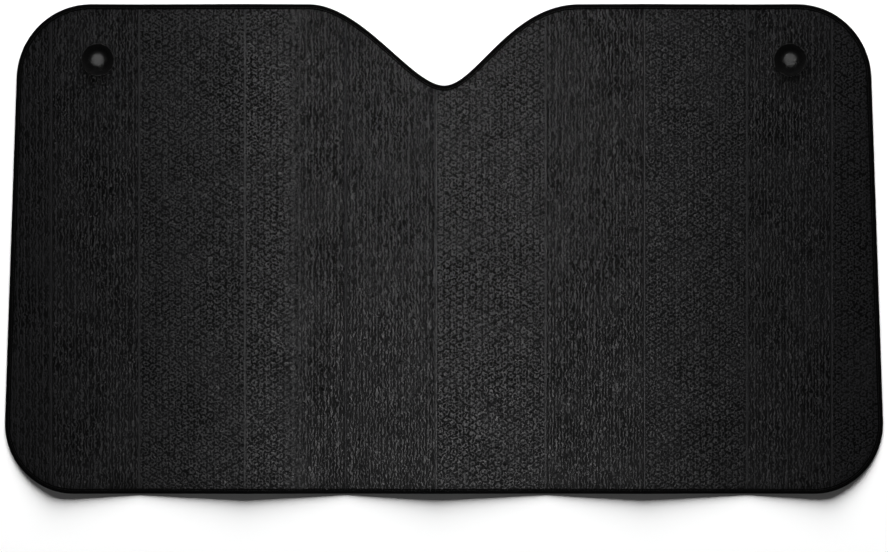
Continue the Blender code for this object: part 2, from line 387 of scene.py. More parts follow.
@dataclass(frozen=True)
class FoldedForm:
    """The accordion that the sheet lies in: ridges and valleys joined by straight panels."""

    creases: tuple[float, ...] = (
        -0.647, -0.503, -0.328, -0.162, -0.013, 0.168, 0.330, 0.500, 0.639,
    )
    half_width: float = 0.725
    height: float = 0.012
    crease_width: float = 9.5 * MM
    mixed_part: tuple[float, float] = (0.3, 0.7)
    weaves: tuple[Weave, ...] = (
        Weave.RIBBED, Weave.RIBBED, Weave.SPECKLED, Weave.MIXED, Weave.RIBBED,
        Weave.SPECKLED, Weave.RIBBED, Weave.SPECKLED, Weave.RIBBED, Weave.SPECKLED,
    )

    def stations(self) -> list[float]:
        """Give the sides and the creases from left to right."""
        return [-self.half_width, *self.creases, self.half_width]

    def rise(self, x: np.ndarray | float) -> np.ndarray:
        """Give the height of the sheet's underside above its lowest at each x."""
        stations = self.stations()
        return np.interp(x, stations, [self.height * (i % 2) for i in range(len(stations))])

    def slope(self, x: float) -> float:
        """Give the steepness of the panel at x."""
        step = 0.1 * MM
        return float(self.rise(x + step) - self.rise(x - step)) / (2 * step)

    def crease_distance(self, x: np.ndarray) -> np.ndarray:
        """Give the distance of each x from its nearest crease."""
        return np.min(np.abs(np.asarray(x)[:, None] - np.array(self.creases)), axis=1)

    def crease_wave(self, x: np.ndarray) -> np.ndarray:
        """Give a triangle wave whose size is the distance from the nearest crease, and which
        passes through 0 only at creases, so that it can be read between vertices.

        Args:
            x: Places across the sheet.

        Returns:
            The wave at each place, in metres.
        """
        gaps = np.asarray(x)[:, None] - np.array(self.creases)
        nearest = np.argmin(np.abs(gaps), axis=1)
        return gaps[np.arange(len(gaps)), nearest] * (1 - 2 * (nearest % 2))

    def ribbing(self, x: np.ndarray) -> np.ndarray:
        """Give how far the bubbles are drawn into columns.

        Args:
            x: Places across the sheet.

        Returns:
            A share at each place, 0 where the bubbles are single.
        """
        panel = np.clip(np.searchsorted(self.creases, x), 0, len(self.weaves) - 1)
        edges = np.array(self.stations())
        share = (x - edges[panel]) / (edges[panel + 1] - edges[panel])
        kinds = np.array([weave.value for weave in self.weaves])[panel]
        return np.where(kinds == Weave.MIXED.value, smoothstep(share, *self.mixed_part), kinds)

    def flat_width(self) -> float:
        """Give the width of the sheet when it is pulled flat."""
        return float(sum(math.hypot(w, self.height) for w in np.diff(self.stations())))


# Finishes


@dataclass(frozen=True)
class Finish:
    """A surface: its colour and gloss, and the relief that its nodes draw.

    The roughness wanders by roughness_spread to both sides in soft blotches, spread_scale of
    them to the metre. A noise texture's values lie mostly between those of noise_range.
    """

    name: str
    colour: str
    roughness: float
    ior: float = 1.5
    metallic: float = 0.0
    specular: float = 0.5
    roughness_spread: float = 0.0
    spread_scale: float = 40.0
    noise_range: tuple[float, float] = (0.3, 0.7)

    def material(self) -> bpy.types.Material:
        """Make the material, with the relief that a kind of finish adds.

        Returns:
            The material.
        """
        material = bpy.data.materials.new(self.name)
        material.use_nodes = True
        tree = material.node_tree
        shader = tree.nodes["Principled BSDF"]
        shader.inputs[Socket.COLOUR.value].default_value = linear(self.colour)
        shader.inputs[Socket.ROUGHNESS.value].default_value = self.roughness
        shader.inputs[Socket.METALLIC.value].default_value = self.metallic
        shader.inputs[Socket.IOR.value].default_value = self.ior
        shader.inputs[Socket.SPECULAR.value].default_value = self.specular
        places = add_node(tree, "ShaderNodeTexCoord").outputs["Object"]
        if self.roughness_spread:
            blotch = add_node(
                tree, "ShaderNodeTexNoise", inputs={"Scale": self.spread_scale, "Detail": 3.0},
                links={"Vector": places},
            )
            spread = add_node(
                tree, "ShaderNodeMapRange",
                inputs={
                    "From Min": self.noise_range[0], "From Max": self.noise_range[1],
                    "To Min": self.roughness - self.roughness_spread,
                    "To Max": self.roughness + self.roughness_spread,
                },
                links={"Value": blotch.outputs["Fac"]},
            )
            tree.links.new(spread.outputs["Result"], shader.inputs[Socket.ROUGHNESS.value])
        relief = self.relief(tree, shader, places)
        if relief:
            tree.links.new(relief, shader.inputs[Socket.NORMAL.value])
        return material

    def relief(
        self, tree: bpy.types.NodeTree, shader: bpy.types.Node, places: bpy.types.NodeSocket
    ) -> bpy.types.NodeSocket | None:
        """Draw the surface's relief.

        Args:
            tree: The material's nodes.
            shader: Its shader, for a finish that colours its relief.
            places: The object coordinates.

        Returns:
            The bent normal, or None for a plain surface.
        """
        return None


@dataclass(frozen=True)
class BlownFilm(Finish):
    """Low-density polythene film, blown and welded over bubbles.

    Where the bubbles are single, each has two crests that its waves make, pits where three
    bubbles meet, and puckers. Where the folds have drawn them into columns, the crests run along
    the columns, and streaks and puckers lie over them. The lowest places of both are duller, and
    their colour is darkened there as painted shade in the hollows; both fade out at the pressed
    creases. Lengths are in millimetres; pit_waves, pit_drift and patch_noise are ranges of a
    pattern's own values.
    """

    pitch_mm: float = 10.57
    wander_mm: float = 11.6
    drift_mm: float = 7.0
    pit_depth_mm: float = 0.35
    pit_waves: tuple[float, float] = (-1.5, -0.85)
    pit_drift: tuple[float, float] = (0.36, 0.62)
    bubble_height_mm: float = 0.04
    bubble_crest_mm: float = -0.28
    column_height_mm: float = 0.15
    column_crest_mm: float = 0.42
    pucker_mm: float = 3.1
    pucker_depth_mm: float = 0.65
    puckers_in_ribs: float = 0.6
    streak_mm: float = 2.4
    streak_depth_mm: float = 1.0
    streak_squash: float = 0.2
    haze_mm: float = 0.8
    haze_depth_mm: float = 0.02
    score_mm: float = 0.9
    score_depth_mm: float = 0.2
    bead_from_mm: float = 2.3
    bead_depth_mm: float = 0.27
    crease_free_mm: tuple[float, float] = (0.8, 2.4)
    # Painted shade: the colour that the film's low places are darkened to, as shade in the hollows.
    painted_hollow_shade: str = "#020202"
    hollow_dullness: float = 0.45
    low_on_bubbles_mm: tuple[float, float] = (-0.17, -0.08)
    low_on_columns_mm: tuple[float, float] = (0.83, 0.94)
    patch_mm: float = 80.0
    patch_noise: tuple[float, float] = (0.35, 0.65)
    patch_least: float = 0.75

    def _creases(
        self, tree: bpy.types.NodeTree
    ) -> tuple[bpy.types.NodeSocket, bpy.types.NodeSocket]:
        """Draw the pressed creases: a scored line with a bead on each side.

        Args:
            tree: The material's nodes.

        Returns:
            The creases' height in metres, and how free of them the film is, from 0 to 1.
        """
        wave = add_node(tree, "ShaderNodeAttribute", settings={"attribute_name": "crease"})
        away = add_node(
            tree, "ShaderNodeMath", settings={"operation": "ABSOLUTE"},
            links={0: wave.outputs["Fac"]},
        ).outputs[0]
        from_bead = add_node(
            tree, "ShaderNodeMath", settings={"operation": "SUBTRACT"},
            inputs={1: self.bead_from_mm * MM}, links={0: away},
        )
        off_bead = add_node(
            tree, "ShaderNodeMath", settings={"operation": "ABSOLUTE"},
            links={0: from_bead.outputs[0]},
        ).outputs[0]
        score, bead = (
            add_node(
                tree, "ShaderNodeMapRange", settings={"interpolation_type": "SMOOTHSTEP"},
                inputs={"From Max": self.score_mm * MM, "To Min": height_mm * MM, "To Max": 0.0},
                links={"Value": distance},
            ).outputs["Result"]
            for distance, height_mm in (
                (away, -self.score_depth_mm), (off_bead, self.bead_depth_mm),
            )
        )
        height = add_node(
            tree, "ShaderNodeMath", settings={"operation": "ADD"}, links={0: score, 1: bead}
        )
        clear, whole = self.crease_free_mm
        free = add_node(
            tree, "ShaderNodeMapRange", settings={"interpolation_type": "SMOOTHSTEP"},
            inputs={"From Min": clear * MM, "From Max": whole * MM}, links={"Value": away},
        )
        return height.outputs[0], free.outputs["Result"]

    def _bubbles(
        self, tree: bpy.types.NodeTree, places: bpy.types.NodeSocket
    ) -> dict[str, bpy.types.NodeSocket]:
        """Draw the lattice of the bubbles, a little disordered.

        Args:
            tree: The material's nodes.
            places: The object coordinates.

        Returns:
            The pits between bubbles, 1 at their deepest, and the waves of the single bubbles
            and of the columns, each also squared, which gives every bubble two crests.
        """
        drift = add_node(
            tree, "ShaderNodeTexNoise", inputs={"Scale": 1 / (self.drift_mm * MM), "Detail": 2.0},
            links={"Vector": places},
        )
        centred = add_node(
            tree, "ShaderNodeVectorMath", settings={"operation": "SUBTRACT"},
            inputs={1: (0.5, 0.5, 0.5)}, links={0: drift.outputs["Color"]},
        )
        shift = add_node(
            tree, "ShaderNodeVectorMath", settings={"operation": "MULTIPLY_ADD"},
            inputs={1: (self.wander_mm * MM,) * 3},
            links={0: centred.outputs["Vector"], 2: places},
        )
        per_metre = 2 * math.pi / (self.pitch_mm * MM)
        waves, squares = [], []
        for turn in (0.0, math.pi / 3, -math.pi / 3):
            across, along = per_metre * math.cos(turn), per_metre * math.sin(turn)
            phase = add_node(
                tree, "ShaderNodeVectorMath", settings={"operation": "DOT_PRODUCT"},
                inputs={1: (across, along, 0.0)}, links={0: shift.outputs["Vector"]},
            )
            centred_phase = add_node(
                tree, "ShaderNodeMath", settings={"operation": "SUBTRACT"},
                inputs={1: math.pi * math.cos(turn)}, links={0: phase.outputs["Value"]},
            )
            wave = add_node(
                tree, "ShaderNodeMath", settings={"operation": "COSINE"},
                links={0: centred_phase.outputs[0]},
            ).outputs[0]
            square = add_node(
                tree, "ShaderNodeMath", settings={"operation": "MULTIPLY"},
                links={0: wave, 1: wave},
            ).outputs[0]
            waves.append(wave)
            squares.append(square)
        lattice = self._stack(tree, [(wave, 1.0) for wave in waves])
        deepest, shallowest = self.pit_waves
        pits = add_node(
            tree, "ShaderNodeMapRange", settings={"interpolation_type": "SMOOTHSTEP"},
            inputs={"From Min": deepest, "From Max": shallowest, "To Min": 1.0, "To Max": 0.0},
            links={"Value": lattice},
        )
        return {
            "pits": pits.outputs["Result"], "bubbles": lattice,
            "bubble crests": self._stack(tree, [(square, 1.0) for square in squares]),
            "columns": waves[0], "column crests": squares[0],
        }

    def _stack(
        self, tree: bpy.types.NodeTree, layers: Sequence[tuple[bpy.types.NodeSocket, float]]
    ) -> bpy.types.NodeSocket:
        """Lay layers of relief on each other.

        Args:
            tree: The material's nodes.
            layers: Each layer's pattern and the height that it is multiplied by.

        Returns:
            Their sum.
        """
        total = None
        for pattern, height in layers:
            total = add_node(
                tree, "ShaderNodeMath", settings={"operation": "MULTIPLY_ADD"},
                inputs={1: height, 2: 0.0}, links={0: pattern, **({2: total} if total else {})},
            ).outputs[0]
        return total

    def _paint_hollow_shade(
        self, tree: bpy.types.NodeTree, shader: bpy.types.Node,
        shares: Sequence[bpy.types.NodeSocket],
    ) -> None:
        """Darken the low places of the film with painted shade, and make them duller.

        Args:
            tree: The material's nodes.
            shader: Its shader.
            shares: What the painted shade and the dullness are the product of, each from 0 to 1.
        """
        hollow_shade_and_dullness = shares[0]
        for share in shares[1:]:
            hollow_shade_and_dullness = add_node(
                tree, "ShaderNodeMath", settings={"operation": "MULTIPLY"},
                links={0: hollow_shade_and_dullness, 1: share},
            ).outputs[0]
        # Painted shade: the film's colour is darkened in its low places, as shade in the hollows.
        colour = add_node(
            tree, "ShaderNodeMix", settings={"data_type": "RGBA"},
            inputs={FIRST_COLOUR: linear(self.colour), SECOND_COLOUR: linear(self.painted_hollow_shade)},
            links={"Factor": hollow_shade_and_dullness},
        )
        tree.links.new(colour.outputs[MIXED_COLOUR], shader.inputs[Socket.COLOUR.value])
        gloss = shader.inputs[Socket.ROUGHNESS.value]
        dull = add_node(
            tree, "ShaderNodeMath", settings={"operation": "MULTIPLY_ADD"},
            inputs={1: self.hollow_dullness}, links={0: hollow_shade_and_dullness, 2: gloss.links[0].from_socket},
        )
        tree.links.new(dull.outputs[0], gloss)

    def relief(
        self, tree: bpy.types.NodeTree, shader: bpy.types.Node, places: bpy.types.NodeSocket
    ) -> bpy.types.NodeSocket | None:
        """Draw the bubbles, puckers, streaks and creases; darken the low places with painted shade
        and dull them.

        Args:
            tree: The material's nodes.
            shader: Its shader.
            places: The object coordinates.

        Returns:
            The bent normal.
        """
        bubbles = self._bubbles(tree, places)
        drawn = add_node(
            tree, "ShaderNodeMapping", inputs={"Scale": (1.0, self.streak_squash, 1.0)},
            links={"Vector": places},
        ).outputs["Vector"]
        drift, puckers, streaks, haze, patches = (
            add_node(
                tree, "ShaderNodeTexNoise", inputs={"Scale": 1 / (size_mm * MM), "Detail": detail},
                links={"Vector": vector},
            ).outputs["Fac"]
            for size_mm, detail, vector in (
                (self.drift_mm, 1.0, places), (self.pucker_mm, 1.0, places),
                (self.streak_mm, 1.0, drawn), (self.haze_mm, 2.0, places),
                (self.patch_mm, 1.0, places),
            )
        )
        none, all_pits = self.pit_drift
        some = add_node(
            tree, "ShaderNodeMapRange", inputs={"From Min": none, "From Max": all_pits},
            links={"Value": drift},
        ).outputs["Result"]
        pits = add_node(
            tree, "ShaderNodeMath", settings={"operation": "MULTIPLY"},
            links={0: bubbles["pits"], 1: some},
        ).outputs[0]
        single = self._stack(tree, [
            (pits, -self.pit_depth_mm * MM), (bubbles["bubbles"], self.bubble_height_mm * MM),
            (bubbles["bubble crests"], self.bubble_crest_mm * MM),
            (puckers, self.pucker_depth_mm * MM),
        ])
        ribbed = self._stack(tree, [
            (bubbles["columns"], self.column_height_mm * MM),
            (bubbles["column crests"], self.column_crest_mm * MM),
            (streaks, self.streak_depth_mm * MM),
            (puckers, self.puckers_in_ribs * self.pucker_depth_mm * MM),
        ])
        ribbing = add_node(
            tree, "ShaderNodeAttribute", settings={"attribute_name": "ribbing"}
        ).outputs["Fac"]
        lows = [
            add_node(
                tree, "ShaderNodeMapRange", settings={"interpolation_type": "SMOOTHSTEP"},
                inputs={
                    "From Min": low_mm * MM, "From Max": high_mm * MM, "To Min": 1.0, "To Max": 0.0,
                },
                links={"Value": skin},
            ).outputs["Result"]
            for skin, (low_mm, high_mm) in (
                (single, self.low_on_bubbles_mm), (ribbed, self.low_on_columns_mm),
            )
        ]
        mixed, low = (
            add_node(
                tree, "ShaderNodeMix", settings={"data_type": "FLOAT"},
                links={"Factor": ribbing, FIRST_NUMBER: on_bubbles, SECOND_NUMBER: on_columns},
            ).outputs[MIXED_NUMBER]
            for on_bubbles, on_columns in ((single, ribbed), lows)
        )
        creases, free = self._creases(tree)
        weakest, strongest = self.patch_noise
        strong = add_node(
            tree, "ShaderNodeMapRange",
            inputs={"From Min": weakest, "From Max": strongest, "To Min": self.patch_least},
            links={"Value": patches},
        ).outputs["Result"]
        # Painted shade in the low places, weaker in patches and none at the creases; the same mask
        # dulls them.
        self._paint_hollow_shade(tree, shader, (low, strong, free))
        height = add_node(
            tree, "ShaderNodeMath", settings={"operation": "MULTIPLY_ADD"},
            links={0: mixed, 1: free, 2: creases},
        )
        bent = add_node(
            tree, "ShaderNodeBump", inputs={"Distance": 1.0}, links={"Height": height.outputs[0]}
        )
        hazed = add_node(
            tree, "ShaderNodeBump", inputs={"Distance": self.haze_depth_mm * MM},
            links={"Height": haze, "Normal": bent.outputs["Normal"]},
        )
        return hazed.outputs["Normal"]


@dataclass(frozen=True)
class BondedTape(Finish):
    """Non-woven binding tape, its fibres pressed together at a fine grid of points, which
    follows the tape by its own UV map. The real points are about 0.6 mm apart; they are drawn
    0.9 mm apart so that they show from near by."""

    point_mm: float = 0.9
    point_depth_mm: float = 0.12

    def relief(
        self, tree: bpy.types.NodeTree, shader: bpy.types.Node, places: bpy.types.NodeSocket
    ) -> bpy.types.NodeSocket | None:
        """Draw the points, where rows along and across the tape cross.

        Args:
            tree: The material's nodes.
            shader: Its shader.
            places: The object coordinates.

        Returns:
            The bent normal.
        """
        own = add_node(tree, "ShaderNodeUVMap", settings={"uv_map": "tape"}).outputs["UV"]
        along, across = (
            add_node(
                tree, "ShaderNodeTexWave",
                settings={"wave_type": "BANDS", "bands_direction": direction},
                inputs={"Scale": WAVE_BAND / (self.point_mm * MM), "Distortion": 0.3},
                links={"Vector": own},
            ).outputs["Fac"]
            for direction in ("X", "Y")
        )
        cloth = add_node(
            tree, "ShaderNodeMath", settings={"operation": "MULTIPLY"},
            links={0: along, 1: across},
        )
        bent = add_node(
            tree, "ShaderNodeBump", inputs={"Strength": 1.0, "Distance": self.point_depth_mm * MM},
            links={"Height": cloth.outputs[0]},
        )
        return bent.outputs["Normal"]


@dataclass(frozen=True)
class MouldedVinyl(Finish):
    """Soft vinyl moulded in a polished tool, with the slow ripple of a soft moulding."""

    ripple_mm: float = 9.0
    ripple_depth_mm: float = 0.03

    def relief(
        self, tree: bpy.types.NodeTree, shader: bpy.types.Node, places: bpy.types.NodeSocket
    ) -> bpy.types.NodeSocket | None:
        """Draw the ripple.

        Args:
            tree: The material's nodes.
            shader: Its shader.
            places: The object coordinates.

        Returns:
            The bent normal.
        """
        ripple = add_node(
            tree, "ShaderNodeTexNoise", inputs={"Scale": 1 / (self.ripple_mm * MM), "Detail": 1.0},
            links={"Vector": places},
        )
        bent = add_node(
            tree, "ShaderNodeBump", inputs={"Strength": 0.6, "Distance": self.ripple_depth_mm * MM},
            links={"Height": ripple.outputs["Fac"]},
        )
        return bent.outputs["Normal"]


@dataclass(frozen=True)
class PressedAluminium(Finish):
    """Bright aluminium sheet, pressed and rolled, with the fine grain of the sheet."""

    grain_mm: float = 0.35
    grain_depth_mm: float = 0.006

    def relief(
        self, tree: bpy.types.NodeTree, shader: bpy.types.Node, places: bpy.types.NodeSocket
    ) -> bpy.types.NodeSocket | None:
        """Draw the grain.

        Args:
            tree: The material's nodes.
            shader: Its shader.
            places: The object coordinates.

        Returns:
            The bent normal.
        """
        grain = add_node(
            tree, "ShaderNodeTexNoise", inputs={"Scale": 1 / (self.grain_mm * MM), "Detail": 2.0},
            links={"Vector": places},
        )
        bent = add_node(
            tree, "ShaderNodeBump", inputs={"Strength": 0.5, "Distance": self.grain_depth_mm * MM},
            links={"Height": grain.outputs["Fac"]},
        )
        return bent.outputs["Normal"]


# Polythene film blown thin and pigmented black: a satin black that glitters in small dots and
# streaks where light catches the crests, and not an even grey as card would be. Its low places
# are darkened with painted shade.
FILM_FINISH = BlownFilm("black blown polythene film", "#131314", 0.40, 1.51, roughness_spread=0.04)

# The same film laid flat as a backing: a plainer, slightly duller black in which only the
# creases and a soft trace of the bubbles show. Its low places get a faint painted shade.
BACK_FINISH = BlownFilm(
    "black flat polythene backing", "#1a1a1b", 0.44, 1.51, roughness_spread=0.05,
    pit_depth_mm=0.1, bubble_height_mm=0.05, bubble_crest_mm=0.03, column_height_mm=0.06,
    column_crest_mm=0.03, pucker_mm=6.0, pucker_depth_mm=0.2, streak_mm=3.4,
    streak_depth_mm=0.15, score_depth_mm=0.6, bead_depth_mm=0.3, painted_hollow_shade="#121213",
    hollow_dullness=0.1, low_on_bubbles_mm=(0.12, 0.15), low_on_columns_mm=(0.12, 0.16),
)

# Bonded polyester fibre: the dullest black of the shade, which frames the film without a glint.
TAPE_FINISH = BondedTape("black non-woven polyester tape", "#040404", 0.9, 1.45, specular=0.15)

# Spun polyester sewing thread: a shade paler than the tape, so that single stitches show.
THREAD_FINISH = Finish("black spun polyester thread", "#131313", 0.62, 1.5)

# Soft vinyl moulded glossy: nearly black in the dish's wall, with one round soft reflection in
# its floor.
CUP_FINISH = MouldedVinyl("black moulded soft vinyl", "#040404", 0.35, 1.52, roughness_spread=0.02)

# Pressed bright aluminium: the only pale, metallic glint, seen from behind.
EYELET_FINISH = PressedAluminium("bright pressed aluminium", "#cfcbc4", 0.26, metallic=1.0)


# The pieces


@dataclass
class BubbleFilm:
    """The bubble film: a bubbled skin on the glass side and a flat backing.

    The skin's relief is at most dimple_depth between single bubbles and rib_depth between
    columns. Each bubble may be up to slack of that softer, and jitter roughens the film, most in
    the dimples. The film is pressed thin at the creases, under the tape and round each eyelet.
    """

    outline: SheetOutline
    folds: FoldedForm
    back_gap: float = 0.9 * MM
    thickness: float = 4.0 * MM
    column_pitch: float = 10.57 * MM
    bubble_pitch: float = 12.2 * MM
    steps_per_bubble: int = 3
    numbers_per_column: int = 200
    dimple_depth: float = 0.4 * MM
    rib_depth: float = 0.22 * MM
    fullness: float = 0.16
    rib_fullness: float = 0.7
    rib_share: float = 0.62
    back_step: float = 6 * MM
    crease_thickness: float = 3.75 * MM
    edge_thickness: float = 1.7 * MM
    bound_thickness: float = 3.0 * MM
    binding_width: float = 8.5 * MM
    bound_reach: float = 9 * MM
    edge_margin: float = 1.6 * MM
    jitter: float = 0.08 * MM
    jitter_in_dimples: float = 1.6
    slack: float = 0.30
    eyelets: tuple[tuple[float, float], ...] = ()
    eyelet_hole: float = 6.4 * MM
    eyelet_press: float = 0.4 * MM
    eyelet_flat: tuple[float, float] = (9 * MM, 13 * MM)
    back_crease_lift: float = 0.35 * MM
    seed: int = 11

    def _lattice(self) -> tuple[bpy.types.Object, np.ndarray, np.ndarray]:
        """Lay a grid of vertices in steps of a part of a bubble, alternate columns half a step on.

        Returns:
            The mesh object, and each vertex's column and half row.
        """
        step_x = self.column_pitch / self.steps_per_bubble
        step_y = self.bubble_pitch / self.steps_per_bubble
        across = math.ceil(self.outline.width / 2 / step_x)
        along = math.ceil(self.outline.height / 2 / step_y)
        deselect_all()
        bpy.ops.mesh.primitive_grid_add(
            x_subdivisions=2 * across, y_subdivisions=2 * along, size=2.0
        )
        film = bpy.context.active_object
        film.name = film.data.name = "bubble_film_front"
        places = coordinates(film)
        column = np.rint(places[:, 0] * across).astype(int)
        row = np.rint(places[:, 1] * along).astype(int)
        shift = self.column_pitch / 2
        places[:, 0] = column * step_x + shift
        places[:, 1] = (row + 0.5 * (column % 2)) * step_y
        place_vertices(film, places)
        return film, column, 2 * row + column % 2

    def _bubble_number(self, column: np.ndarray, half_row: np.ndarray) -> np.ndarray:
        """Number the bubble that each vertex belongs to, for what differs between bubbles.

        Args:
            column: The vertices' columns in the lattice.
            half_row: Their half rows.

        Returns:
            The bubbles' numbers, from 0 up.
        """
        steps = self.steps_per_bubble
        line = np.rint(column / steps).astype(int)
        place = np.rint((half_row - steps * (line % 2)) / (2 * steps)).astype(int)
        return (line - line.min()) * self.numbers_per_column + (place - place.min())

    def _relief(self, places: np.ndarray) -> np.ndarray:
        """Give each place its height on the bubbles.

        Args:
            places: The vertices, one row each.

        Returns:
            The heights, from 0 in a dimple to 1 on a crown.
        """
        x, y = places[:, 0] - self.column_pitch / 2, places[:, 1]
        wave = 2 * math.pi / self.column_pitch
        waves = np.cos(wave * x)
        for turn in (math.pi / 3, -math.pi / 3):
            waves = waves + np.cos(wave * (x * math.cos(turn) + y * math.sin(turn)))
        lowest, highest = -1.5, 3.0  # of three such waves together
        level = np.clip((waves - lowest) / (highest - lowest), 0.0, 1.0)
        bubble = level**self.fullness
        rib = (0.5 + 0.5 * np.cos(wave * x)) ** self.rib_fullness
        ribbed = self.rib_share * self.folds.ribbing(places[:, 0])
        return bubble * (1 - ribbed) + rib * ribbed

    def front(self) -> bpy.types.Object:
        """Build the bubbled skin.

        Returns:
            The finished mesh object.
        """
        film, column, half_row = self._lattice()
        pick(film)
        bpy.ops.object.mode_set(mode="EDIT")
        bpy.ops.mesh.select_all(action="SELECT")
        bpy.ops.mesh.quads_convert_to_tris(quad_method="SHORTEST_DIAGONAL")
        bpy.ops.object.mode_set(mode="OBJECT")
        places = coordinates(film)
        inside, _, _ = self.outline.from_edge(places)
        places[:, 2] = self._heights(places, inside, column, half_row)
        place_vertices(film, places)
        doomed = inside < self.edge_margin
        for x, y in self.eyelets:
            doomed |= np.hypot(places[:, 0] - x, places[:, 1] - y) < self.eyelet_hole
        delete_vertices(film, doomed)
        pick(film)
        bpy.ops.object.shade_smooth()
        self._mark_folds(film)
        return film

    def _mark_folds(self, film: bpy.types.Object) -> None:
        """Store on each vertex, for the finish, how its bubbles are drawn and its crease wave.

        Args:
            film: The mesh object.
        """
        x = coordinates(film)[:, 0]
        marks = {"ribbing": self.folds.ribbing(x), "crease": self.folds.crease_wave(x)}
        for name, values in marks.items():
            mark = film.data.attributes.new(name, "FLOAT", "POINT")
            mark.data.foreach_set("value", values.astype(np.float32))

    def _heights(
        self, places: np.ndarray, inside: np.ndarray, column: np.ndarray, half_row: np.ndarray
    ) -> np.ndarray:
        """Give each vertex of the skin its height.

        Args:
            places: The vertices, one row each.
            inside: Their distances from the sheet's edge.
            column: Their columns in the lattice.
            half_row: Their half rows in the lattice.

        Returns:
            The heights, in metres.
        """
        random = np.random.default_rng(self.seed)
        relief = self._relief(places)
        number = self._bubble_number(column, half_row)
        loose = self.slack * random.random(number.max() + 1) ** 3
        ribbing = self.folds.ribbing(places[:, 0])
        depth = self.dimple_depth + (self.rib_depth - self.dimple_depth) * ribbing
        drop = depth * (1 - relief * (1 - loose[number]))
        rough = self.jitter * np.abs(random.normal(size=len(places)))
        drop += rough * (self.jitter_in_dimples - relief)
        depth_here = self.thickness - drop
        pressed = smoothstep(
            self.folds.crease_distance(places[:, 0]), 0.0, self.folds.crease_width / 2
        )
        depth_here = self.crease_thickness + (depth_here - self.crease_thickness) * pressed
        free = smoothstep(inside, self.binding_width, self.binding_width + self.bound_reach)
        bound = self.edge_thickness + (self.bound_thickness - self.edge_thickness) * smoothstep(
            inside, self.edge_margin, self.binding_width
        )
        depth_here = np.minimum(depth_here, bound + (self.thickness - bound) * free)
        for x, y in self.eyelets:
            away = np.hypot(places[:, 0] - x, places[:, 1] - y)
            pressed = self.eyelet_press * (1 - smoothstep(away, *self.eyelet_flat))
            depth_here = np.minimum(depth_here, self.thickness - pressed)
        return self.folds.rise(places[:, 0]) + self.back_gap + depth_here

    def back(self) -> bpy.types.Object:
        """Build the flat backing.

        Returns:
            The finished mesh object.
        """
        points, normals, _ = self.outline.samples(self.back_step)
        rim = points - self.edge_margin * normals
        deselect_all()
        bpy.ops.mesh.primitive_circle_add(vertices=len(rim), radius=1.0, fill_type="NGON")
        film = bpy.context.active_object
        film.name = film.data.name = "bubble_film_back"
        place_vertices(film, np.concatenate([rim, np.zeros((len(rim), 1))], axis=1))
        half = self.folds.crease_width / 2
        bisect_at(film, [crease + x for crease in self.folds.creases for x in (-half, 0, half)])
        places = coordinates(film)
        near = self.folds.crease_distance(places[:, 0]) < MM
        lift = np.where(near, self.back_crease_lift, 0.0)
        places[:, 2] = self.folds.rise(places[:, 0]) + self.back_gap + lift
        place_vertices(film, places)
        pick(film)
        bpy.ops.object.mode_set(mode="EDIT")
        bpy.ops.mesh.select_all(action="SELECT")
        bpy.ops.mesh.quads_convert_to_tris()
        bpy.ops.mesh.normals_make_consistent(inside=False)
        bpy.ops.mesh.flip_normals()
        bpy.ops.object.mode_set(mode="OBJECT")
        self._mark_folds(film)
        return film


